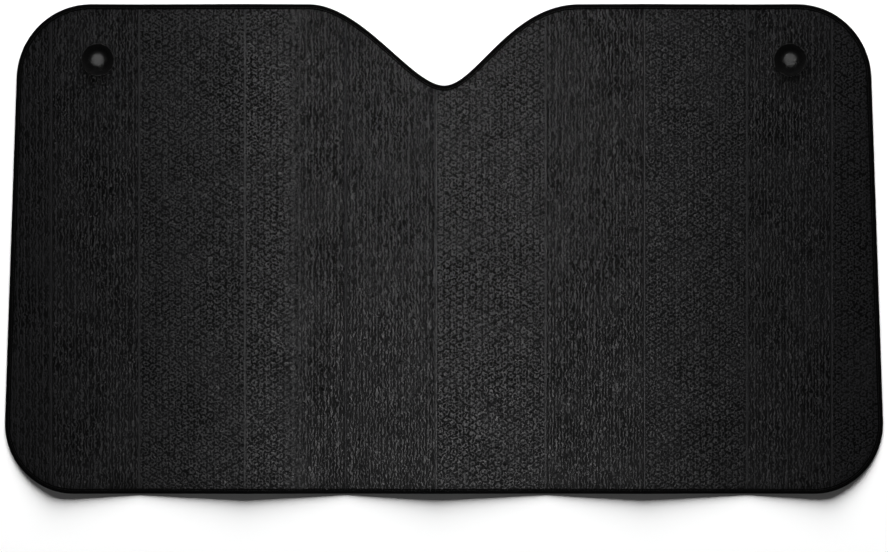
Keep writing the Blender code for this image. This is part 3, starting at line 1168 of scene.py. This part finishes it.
@dataclass
class EdgeBinding:
    """The tape folded round the sheet's edge and the lines of stitches through it.

    Its section is a U lying on its side, pulled in where the seam goes through. Its bend and its
    tip lie at shares of the nose, the tip also at a share of the height. The stitches' dive, end
    and taper are shares of the thread's radius.
    """

    outline: SheetOutline
    folds: FoldedForm
    width: float = 8.5 * MM
    tape: float = 0.6 * MM
    top: float = 4.75 * MM
    lip_top: float = 4.6 * MM
    seam_inset: float = 6.2 * MM
    seam_sink: float = 0.35 * MM
    seam_half_width: float = 1.0 * MM
    nose: float = 2.4 * MM
    nose_ease: float = 0.8 * MM
    bend_ease: float = 0.35 * MM
    bend_share: float = 0.55
    tip_share: float = 0.15
    tip_rise: float = 0.26
    lip_round: float = 0.12 * MM
    lip_reach: float = 0.25 * MM
    lip_fall: float = 0.05 * MM
    band_step: float = 5 * MM
    seam_step: float = 4 * MM
    thread_proud: float = 0.1 * MM
    thread_sunk: float = 0.02 * MM
    stitch_pitch: float = 4.4 * MM
    stitch_length: float = 3.3 * MM
    thread_radius: float = 0.27 * MM
    stitch_dive: float = 0.45
    stitch_end: float = 0.6
    stitch_taper: float = 0.55

    def _section(self) -> list[tuple[float, float]]:
        """Draw the tape's section.

        Returns:
            Its points all the way round, each as (distance in from the edge, height).
        """
        top, lip, wall = self.top, self.lip_top, self.tape
        seam, sink = self.seam_inset, self.seam_sink
        before, after = seam - self.seam_half_width, seam + self.seam_half_width
        flat, ease = self.nose + self.nose_ease, self.bend_ease
        bend, tip = self.nose * self.bend_share, self.nose * self.tip_share
        low, high = top * self.tip_rise, top * (1 - self.tip_rise)
        outer = [
            (self.width, lip - self.lip_round), (self.width - self.lip_reach, lip),
            (after, top - self.lip_fall), (seam, top - sink), (before, top), (flat, top),
            (bend, top - ease), (tip, high), (0.0, top / 2), (tip, low), (bend, ease),
            (flat, 0.0), (self.width, 0.0),
        ]
        inner = [
            (self.width, wall), (flat, wall), (bend + ease, wall + ease), (wall, top / 2),
            (bend + ease, top - wall - ease), (flat, top - wall), (before, top - wall),
            (seam, top - wall - sink), (after, top - wall), (self.width, lip - wall),
        ]
        return outer + inner

    def band(self) -> bpy.types.Object:
        """Sweep the folded tape round the edge.

        Returns:
            The finished mesh object.
        """
        section = self._section()
        profile = bpy.data.curves.new("tape_section", "CURVE")
        profile.dimensions = "2D"
        spline = profile.splines.new("POLY")
        spline.points.add(len(section) - 1)
        for point, (inset, height) in zip(spline.points, section):
            point.co = (-inset, height, 0.0, 1.0)
        spline.use_cyclic_u = True
        ribbon = bpy.data.objects.new("tape_section", profile)
        bpy.context.scene.collection.objects.link(ribbon)
        band = self.outline.guide("binding_tape", 0.0, self.band_step)
        band.data.bevel_mode = "OBJECT"
        band.data.bevel_object = ribbon
        pick(band)
        bpy.ops.object.convert(target="MESH")
        band = bpy.context.active_object
        bpy.data.objects.remove(ribbon)
        bisect_at(band, self.folds.creases)
        places = coordinates(band)
        places[:, 2] += self.folds.rise(places[:, 0])
        place_vertices(band, places)
        self._lay_uv(band)
        face_outwards(band, merge=1e-6)
        bpy.ops.object.shade_smooth_by_angle(angle=math.radians(50))
        return band

    def _lay_uv(self, band: bpy.types.Object) -> None:
        """Give the tape a UV map in metres: along its length, and across it by height and inset.

        Args:
            band: The tape's mesh object.
        """
        places = coordinates(band)
        inset, along, length = self.outline.from_edge(places)
        height = places[:, 2] - self.folds.rise(places[:, 0])
        across = np.where(height > self.top / 2, inset, -inset) + height - self.top / 2
        layer = band.data.uv_layers.new(name="tape")
        corner = np.empty(len(band.data.loops), np.int32)
        band.data.loops.foreach_get("vertex_index", corner)
        u = along[corner]
        for face in band.data.polygons:
            loops = np.arange(face.loop_start, face.loop_start + face.loop_total)
            if np.ptp(u[loops]) > length / 2:
                u[loops] = np.where(u[loops] < length / 2, u[loops] + length, u[loops])
        uv = np.stack([u, across[corner]], axis=1)
        layer.data.foreach_set("uv", uv.astype(np.float32).ravel())

    def stitches(self, name: str, height: float) -> bpy.types.Object:
        """Sew one line of stitches round the tape.

        Args:
            name: The piece's name.
            height: The thread's height above the tape's underside.

        Returns:
            The finished mesh object.
        """
        track = self.outline.guide(f"{name}_track", self.seam_inset, self.seam_step)
        points, normals, _ = self.outline.samples(self.seam_step)
        run = points - self.seam_inset * normals
        length = float(np.linalg.norm(run - np.roll(run, -1, axis=0), axis=1).sum())
        count = round(length / self.stitch_pitch)
        deselect_all()
        bpy.ops.mesh.primitive_cylinder_add(
            vertices=6, radius=self.thread_radius, depth=self.stitch_length,
            end_fill_type="NGON", rotation=(0.0, math.pi / 2, 0.0),
            location=(self.stitch_length / 2, 0.0, 0.0),
        )
        line = bpy.context.active_object
        line.name = line.data.name = name
        bpy.ops.object.transform_apply(location=True, rotation=True, scale=True)
        bpy.ops.object.mode_set(mode="EDIT")
        bpy.ops.mesh.select_all(action="SELECT")
        bpy.ops.mesh.select_mode(type="FACE")
        bpy.ops.mesh.select_all(action="DESELECT")
        bpy.ops.object.mode_set(mode="OBJECT")
        for face in line.data.polygons:
            face.select = abs(face.normal.x) > 0.9
        bpy.ops.object.mode_set(mode="EDIT")
        dive = self.stitch_dive * self.thread_radius
        bpy.ops.mesh.extrude_region_shrink_fatten(
            TRANSFORM_OT_shrink_fatten={"value": self.stitch_end * self.thread_radius}
        )
        taper = (1.0, self.stitch_taper, self.stitch_taper)
        bpy.ops.transform.resize(value=taper, center_override=(0.0, 0.0, 0.0))
        bpy.ops.transform.translate(value=(0.0, 0.0, -math.copysign(dive, height - self.top / 2)))
        bpy.ops.object.mode_set(mode="OBJECT")
        array = line.modifiers.new("every stitch", "ARRAY")
        array.count = count
        array.use_relative_offset = False
        array.use_constant_offset = True
        array.constant_offset_displace = (length / count, 0.0, 0.0)
        bpy.ops.object.modifier_apply(modifier=array.name)
        bend = line.modifiers.new("round the edge", "CURVE")
        bend.object = track
        bend.deform_axis = "POS_X"
        bpy.ops.object.modifier_apply(modifier=bend.name)
        bpy.data.objects.remove(track)
        places = coordinates(line)
        places[:, 2] += self.folds.rise(places[:, 0]) + height
        place_vertices(line, places)
        face_outwards(line)
        bpy.ops.object.shade_smooth_by_angle(angle=math.radians(60))
        return line


def lathe(
    name: str, rings: Sequence[tuple[float, float]], sides: int, ring_shaped: bool
) -> bpy.types.Object:
    """Turn a profile by extruding a circle of vertices from ring to ring.

    Args:
        name: The piece's name.
        rings: The profile as (radius, height) of each ring.
        sides: How many vertices each ring has.
        ring_shaped: Whether the last ring closes on the first, as round a bore.

    Returns:
        The turned mesh object, about the world's Z axis.
    """
    deselect_all()
    radius, height = rings[0]
    bpy.ops.mesh.primitive_circle_add(
        vertices=sides, radius=radius, location=(0.0, 0.0, height),
        fill_type="NOTHING" if ring_shaped else "NGON",
    )
    piece = bpy.context.active_object
    piece.name = piece.data.name = name
    bpy.ops.object.transform_apply(location=True, rotation=False, scale=False)
    bpy.ops.object.mode_set(mode="EDIT")
    bpy.ops.mesh.select_mode(type="EDGE")
    bpy.ops.mesh.select_all(action="SELECT")
    turns = list(zip(rings, rings[1:] + [rings[0]] if ring_shaped else rings[1:]))
    for (radius, height), (next_radius, next_height) in turns:
        bpy.ops.mesh.extrude_edges_move(
            TRANSFORM_OT_translate={"value": (0.0, 0.0, next_height - height)}
        )
        share = next_radius / radius
        bpy.ops.transform.resize(value=(share, share, 1.0), center_override=(0.0, 0.0, 0.0))
    if not ring_shaped:
        bpy.ops.mesh.edge_face_add()
    bpy.ops.object.mode_set(mode="OBJECT")
    face_outwards(piece, merge=2e-6)
    return piece


def arc(
    centre: tuple[float, float], radius: float, start: float, end: float, steps: int
) -> list[tuple[float, float]]:
    """Give the points of an arc in a profile.

    Args:
        centre: The arc's centre as (distance from the axis, height).
        radius: Its radius.
        start: Its first angle above the horizontal, in degrees.
        end: Its last angle, in degrees.
        steps: How many chords it has.

    Returns:
        The points, first to last.
    """
    angles = np.radians(np.linspace(start, end, steps + 1))
    return [
        (centre[0] + radius * math.cos(a), centre[1] + radius * math.sin(a)) for a in angles
    ]


@dataclass
class CupFitting:
    """A suction cup on one side, and the eyelet and washer that carry it in the film.

    The dish's floor has rings at shares of its flat part. The lip is round between two angles.
    """

    side: Side
    folds: FoldedForm
    x: float = 0.5715
    y: float = 0.3115
    film_back: float = 0.9 * MM
    film: float = 4.0 * MM
    gap: float = 0.3 * MM
    sides: int = 72
    cup_radius: float = 27.0 * MM
    cup_height: float = 13.5 * MM
    dish_depth: float = 8.5 * MM
    dish_flat: float = 8.0 * MM
    dish_dip: float = 0.12 * MM
    dish_rings: tuple[float, ...] = (0.06, 0.35, 0.7)
    bowl_steps: int = 14
    lip_land: float = 1.4 * MM
    lip_thickness: float = 0.9 * MM
    lip_angles: tuple[float, float] = (140, 0)
    lip_steps: int = 8
    boss_radius: float = 8.5 * MM
    boss_height: float = 1.6 * MM
    neck_radius: float = 4.0 * MM
    head_radius: float = 6.8 * MM
    head_thickness: float = 3.0 * MM
    head_round: float = 1.1 * MM
    head_steps: int = 6
    head_flat: float = 0.5 * MM
    wall: float = 0.5 * MM
    neck_play: float = 0.5 * MM
    flange_radius: float = 9.5 * MM
    flange_soft: float = 0.22 * MM
    roll_radius: float = 6.5 * MM
    washer: float = 0.5 * MM
    washer_soft: float = 0.18 * MM

    @property
    def word(self) -> str:
        """The side's name as the nodes have it."""
        return self.side.name.lower()

    def _seat(self, piece: bpy.types.Object) -> bpy.types.Object:
        """Set a turned piece square on its fold panel, with its place in its mesh.

        Args:
            piece: The piece, turned about the world's Z axis.

        Returns:
            The same piece.
        """
        x = self.side.value * self.x
        place = Matrix.Translation((x, self.y, float(self.folds.rise(x)) + self.film_back))
        place @= Matrix.Rotation(-math.atan(self.folds.slope(x)), 4, "Y")
        piece.data.transform(place)
        piece.data.update()
        return piece

    def cup(self) -> bpy.types.Object:
        """Turn the cup from the middle of its dish over its lip to its head.

        Returns:
            The finished mesh object.
        """
        shoulder = self.film + 2 * self.gap + self.wall
        lip = shoulder + self.cup_height
        rim, floor = self.cup_radius - self.lip_land, lip - self.dish_depth
        span = rim - self.dish_flat
        bowl = (span**2 + self.dish_depth**2) / (2 * self.dish_depth)
        sweep = math.degrees(math.asin(span / bowl))
        dish = arc((self.dish_flat, floor + bowl), bowl, -90, sweep - 90, self.bowl_steps)[:-1]
        flat = [
            (self.dish_flat * share, floor - self.dish_dip * (1 - share * share))
            for share in self.dish_rings
        ]
        bead = self.lip_land / 2
        lips = arc(
            (self.cup_radius - bead, lip - bead), bead, *self.lip_angles, self.lip_steps
        )
        boss_top = shoulder + self.boss_height
        out, up = self.cup_radius - self.boss_radius, lip - self.lip_thickness - boss_top
        bend = (out**2 + up**2) / (2 * up)
        lean = math.degrees(math.asin(out / bend))
        skirt_centre = (self.boss_radius, boss_top + bend)
        skirt = arc(skirt_centre, bend, lean - 90, -90, self.bowl_steps)
        head_top = -(3 * self.gap + self.wall + self.washer)
        head_bottom = head_top - self.head_thickness
        boss, neck, head = self.boss_radius, self.neck_radius, self.head_radius
        below = [
            (boss, shoulder + 0.4 * MM), (boss - 0.15 * MM, shoulder + 0.1 * MM),
            (boss - 0.5 * MM, shoulder), (neck + 0.4 * MM, shoulder),
            (neck, shoulder - 0.35 * MM), (neck, head_top),
            (head - 0.3 * MM, head_top), (head, head_top - 0.3 * MM),
        ]
        end = self.head_round
        round_end = arc((head - end, head_bottom + end), end, 0, -90, self.head_steps)
        rings = [*flat, *dish, *lips, *skirt, *below, *round_end, (self.head_flat, head_bottom)]
        cup = lathe(f"{self.word}_cup_moulding", rings, self.sides, False)
        pick(cup)
        bpy.ops.object.shade_smooth_by_angle(angle=math.radians(40))
        return self._seat(cup)

    def eyelet(self) -> bpy.types.Object:
        """Turn the eyelet: a round flange, a barrel and an end rolled out over the washer.

        Returns:
            The finished mesh object.
        """
        bore = self.neck_radius + self.neck_play
        barrel = bore + self.wall
        top = self.film + self.gap + self.wall
        roll = -(2 * self.gap + self.washer)
        soft = self.flange_soft
        rings = [
            (bore, top - 0.5 * MM), (bore + 0.12 * MM, top - 0.12 * MM), (bore + 0.5 * MM, top),
            (self.flange_radius - soft, top), (self.flange_radius, top - soft),
            (self.flange_radius - 0.05 * MM, top - self.wall), (barrel, top - self.wall),
            (barrel, roll), (self.roll_radius - soft, roll), (self.roll_radius, roll - soft),
            (self.roll_radius - soft, roll - self.wall), (bore + 0.5 * MM, roll - self.wall),
            (bore + 0.1 * MM, roll - 0.3 * MM),
        ]
        eyelet = lathe(f"{self.word}_eyelet_pressing", rings, self.sides, True)
        pick(eyelet)
        bpy.ops.object.shade_smooth_by_angle(angle=math.radians(45))
        return self._seat(eyelet)

    def washer_ring(self) -> bpy.types.Object:
        """Turn the washer behind the film.

        Returns:
            The finished mesh object.
        """
        hole = self.neck_radius + self.neck_play + self.wall + self.gap
        outer, top, low = self.flange_radius, -self.gap, -self.gap - self.washer
        soft = self.washer_soft
        rings = [
            (hole, top), (outer - soft, top), (outer, top - soft), (outer, low + soft),
            (outer - soft, low), (hole + soft, low),
        ]
        ring = lathe(f"{self.word}_eyelet_washer", rings, self.sides, True)
        pick(ring)
        bpy.ops.object.shade_smooth_by_angle(angle=math.radians(45))
        return self._seat(ring)


# The studio


@dataclass
class Studio:
    """The pale floor, the soft lamps and the camera that looks straight down.

    The shade's black surfaces mirror what is round them, so each light is kept to what it is
    for. The strip gives the film its sheen, and the key lights the floor and the film's own
    colour and throws the shadow. Above the horizon the world is dim, with a slightly paler band
    low down, since the dishes' walls mirror it. Below the horizon it is pale, as the floor is.
    Levels are radiances, of which 1 is white. Heights of the band are sines of its elevation.
    """

    frame_width: float = 1.4665
    look_down_y: float = -0.0446
    lens: float = 200.0
    sensor: float = 36.0
    strip_size: tuple[float, float] = (0.5, 3.2)
    strip_height: float = 4.0
    strip_radiance: float = 58.0
    strip_grid_degrees: float = 21.0
    key_size: tuple[float, float] = (5.0, 4.6)
    key_place: tuple[float, float, float] = (0.0, 4.4, 2.9)
    key_radiance: float = 10.6
    floor_size: float = 14.0
    floor_drop: float = 0.05 * MM
    floor_glow: float = 0.02
    floor_near: float = 1.0
    floor_far: float = 2.6
    floor_white: str = "#fbfbfb"
    ambient: float = 0.02
    band_level: float = 0.07
    band_low: float = 0.1
    band_high: float = 0.6
    ground_light: float = 0.8
    ground_edge: float = 0.05

    def camera(self) -> bpy.types.Object:
        """Hang the camera over the shade, far enough off to see it almost without perspective.

        Returns:
            The camera.
        """
        data = bpy.data.cameras.new("overhead_camera")
        data.lens, data.sensor_width = self.lens, self.sensor
        data.clip_end = 50.0
        camera = bpy.data.objects.new("overhead_camera", data)
        bpy.context.scene.collection.objects.link(camera)
        camera.location = (0.0, self.look_down_y, self.frame_width * self.lens / self.sensor)
        bpy.context.scene.camera = camera
        return camera

    def _softbox(
        self, name: str, size: tuple[float, float], place: Vector, radiance: float,
        grid_degrees: float = 180.0,
    ) -> bpy.types.Object:
        """Hang a rectangular lamp that faces the shade and that the camera doesn't see.

        Args:
            name: The lamp's name.
            size: Its width and length, in metres.
            place: Where it hangs.
            radiance: Its brightness straight ahead, where 1 renders as white.
            grid_degrees: The angle that its grid lets light out in, 180 with no grid.

        Returns:
            The lamp.
        """
        data = bpy.data.lights.new(name, "AREA")
        data.shape = "RECTANGLE"
        data.size, data.size_y = size
        data.spread = math.radians(grid_degrees)
        half = data.spread / 2
        passed = 1.0 if grid_degrees >= 180 else 1 - half / math.tan(half)
        data.energy = radiance * math.pi * size[0] * size[1] * passed
        lamp = bpy.data.objects.new(name, data)
        bpy.context.scene.collection.objects.link(lamp)
        lamp.location = place
        lamp.rotation_euler = place.to_track_quat("Z", "Y").to_euler()
        lamp.visible_camera = False
        return lamp

    def lights(self) -> None:
        """Hang a gridded strip over the middle, which dims towards the sides, and a low key
        beyond the notched edge, which throws the soft shadow."""
        above = Vector((0.0, 0.0, self.strip_height))
        strip = self._softbox(
            "strip_softbox", self.strip_size, above, self.strip_radiance, self.strip_grid_degrees
        )
        strip.visible_diffuse = False
        key = self._softbox("key_softbox", self.key_size, Vector(self.key_place), self.key_radiance)
        key.visible_glossy = False

    def floor(self) -> bpy.types.Object:
        """Lay a matt floor that keeps the shade's shadow and turns white far from the shade.

        Only the camera sees it, and only from above. For other rays the world's pale ground
        stands in for it, so that the shade's back is lit.

        Returns:
            The floor.
        """
        deselect_all()
        bpy.ops.mesh.primitive_plane_add(
            size=self.floor_size, location=(0.0, 0.0, -self.floor_drop)
        )
        floor = bpy.context.active_object
        floor.name = "studio_floor"
        material = bpy.data.materials.new("matt white studio floor")
        material.use_nodes = True
        tree = material.node_tree
        tree.nodes.clear()
        matt = add_node(
            tree, "ShaderNodeBsdfDiffuse", inputs={"Color": linear(self.floor_white)}
        ).outputs[0]
        spot = add_node(tree, "ShaderNodeTexCoord").outputs["Object"]
        reach = add_node(
            tree, "ShaderNodeVectorMath", settings={"operation": "LENGTH"}, links={0: spot}
        ).outputs["Value"]
        glow_level = add_node(
            tree, "ShaderNodeMapRange", settings={"interpolation_type": "SMOOTHSTEP"},
            inputs={
                "From Min": self.floor_near, "From Max": self.floor_far,
                "To Min": self.floor_glow, "To Max": 1.0,
            },
            links={"Value": reach},
        )
        glow = add_node(
            tree, "ShaderNodeEmission", inputs={"Color": (1.0, 1.0, 1.0, 1.0)},
            links={"Strength": glow_level.outputs["Result"]},
        ).outputs[0]
        lit = add_node(tree, "ShaderNodeAddShader", links={0: matt, 1: glow}).outputs[0]
        clear = add_node(tree, "ShaderNodeBsdfTransparent").outputs[0]
        seen = add_node(tree, "ShaderNodeLightPath").outputs["Is Camera Ray"]
        other_ray = add_node(
            tree, "ShaderNodeMath", settings={"operation": "SUBTRACT"}, inputs={0: 1.0},
            links={1: seen},
        ).outputs[0]
        behind = add_node(tree, "ShaderNodeNewGeometry").outputs["Backfacing"]
        unseen = add_node(
            tree, "ShaderNodeMath", settings={"operation": "MAXIMUM"},
            links={0: behind, 1: other_ray},
        ).outputs[0]
        sided = add_node(tree, "ShaderNodeMixShader", links={0: unseen, 1: lit, 2: clear})
        add_node(tree, "ShaderNodeOutputMaterial", links={"Surface": sided.outputs[0]})
        floor.data.materials.append(material)
        return floor

    def world(self) -> None:
        """Surround the set with a dim sky and a pale ground, and show white to the camera."""
        world = bpy.data.worlds.new("pale_surround")
        bpy.context.scene.world = world
        world.use_nodes = True
        tree = world.node_tree
        tree.nodes.clear()
        outlook = add_node(tree, "ShaderNodeTexCoord").outputs["Generated"]
        rise = add_node(tree, "ShaderNodeSeparateXYZ", links={"Vector": outlook}).outputs["Z"]
        band = add_node(
            tree, "ShaderNodeMapRange", settings={"interpolation_type": "SMOOTHSTEP"},
            inputs={
                "From Min": self.band_low, "From Max": self.band_high, "To Min": self.band_level,
                "To Max": self.ambient,
            },
            links={"Value": rise},
        )
        ground = add_node(
            tree, "ShaderNodeMapRange",
            inputs={
                "From Min": -self.ground_edge, "From Max": 0.0, "To Min": self.ground_light,
                "To Max": 0.0,
            },
            links={"Value": rise},
        )
        seen = add_node(tree, "ShaderNodeLightPath").outputs["Is Camera Ray"]
        level = band.outputs["Result"]
        for other in (ground.outputs["Result"], seen):
            level = add_node(
                tree, "ShaderNodeMath", settings={"operation": "MAXIMUM"},
                links={0: level, 1: other},
            ).outputs[0]
        light = add_node(
            tree, "ShaderNodeBackground", inputs={"Color": (1.0, 1.0, 1.0, 1.0)},
            links={"Strength": level},
        )
        add_node(tree, "ShaderNodeOutputWorld", links={"Surface": light.outputs[0]})

    def build(self) -> None:
        """Build the whole set."""
        bpy.context.scene.view_settings.view_transform = "Standard"
        self.camera()
        self.floor()
        self.lights()
        self.world()


# The shade as a whole


@dataclass
class WindscreenShade:
    """All the pieces of the shade, dressed and set to ride on the frame's bodies."""

    outline: SheetOutline = field(default_factory=SheetOutline)
    folds: FoldedForm = field(default_factory=FoldedForm)

    def dress(
        self, piece: bpy.types.Object, finish: Finish, body: str, node: str | None = None
    ) -> bpy.types.Object:
        """Give a piece its finish, set it on its body and hide the frame's node that it stands for.

        Args:
            piece: The piece.
            finish: Its finish.
            body: The body that it rides on.
            node: The node of the frame that it stands for, if it does.

        Returns:
            The same piece.
        """
        piece.data.materials.clear()
        piece.data.materials.append(finish.material())
        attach(piece, body)
        if node:
            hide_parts(node)
        faces = sum(len(face.vertices) - 2 for face in piece.data.polygons)
        log.info("%s: %d triangles on body %s", piece.name, faces, body)
        return piece

    def build_sheet(self) -> None:
        """Build the film, its backing, the tape and the stitches."""
        fitting = CupFitting(Side.LEFT, self.folds)
        eyelets = tuple((side.value * fitting.x, fitting.y) for side in Side)
        film = BubbleFilm(self.outline, self.folds, eyelets=eyelets)
        front = self.dress(film.front(), FILM_FINISH, "shade", "shade_panel")
        back = self.dress(film.back(), BACK_FINISH, "shade", "shade_panel")
        binding = EdgeBinding(self.outline, self.folds)
        band = self.dress(binding.band(), TAPE_FINISH, "shade", "edge_binding")
        seam_top = binding.top - binding.seam_sink
        upper = binding.stitches("stitches_glass_side", seam_top + binding.thread_proud)
        lower = binding.stitches("stitches_back", binding.thread_radius - binding.thread_sunk)
        for line in (upper, lower):
            self.dress(line, THREAD_FINISH, "shade")
        stretch = self.folds.flat_width() / self.outline.width
        round(self.folds.flat_width(), 4)
        round(self.outline.area() * stretch, 4)

    def build_cups(self) -> None:
        """Build both cups with their eyelets and washers."""
        for side in Side:
            fitting = CupFitting(side, self.folds)
            word = fitting.word
            self.dress(
                fitting.cup(), CUP_FINISH, f"cup_{word}", f"suction_cup_{word}"
            )
            self.dress(
                fitting.eyelet(), EYELET_FINISH, "shade", f"eyelet_{word}"
            )
            self.dress(
                fitting.washer_ring(), EYELET_FINISH, "shade",
                f"eyelet_washer_{word}",
            )


def main() -> None:
    """Build the studio and the shade."""
    logging.basicConfig(level=logging.INFO, format="%(name)s: %(message)s")
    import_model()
    Studio().build()
    shade = WindscreenShade()
    shade.build_sheet()
    shade.build_cups()


if __name__ == "__main__":
    main()
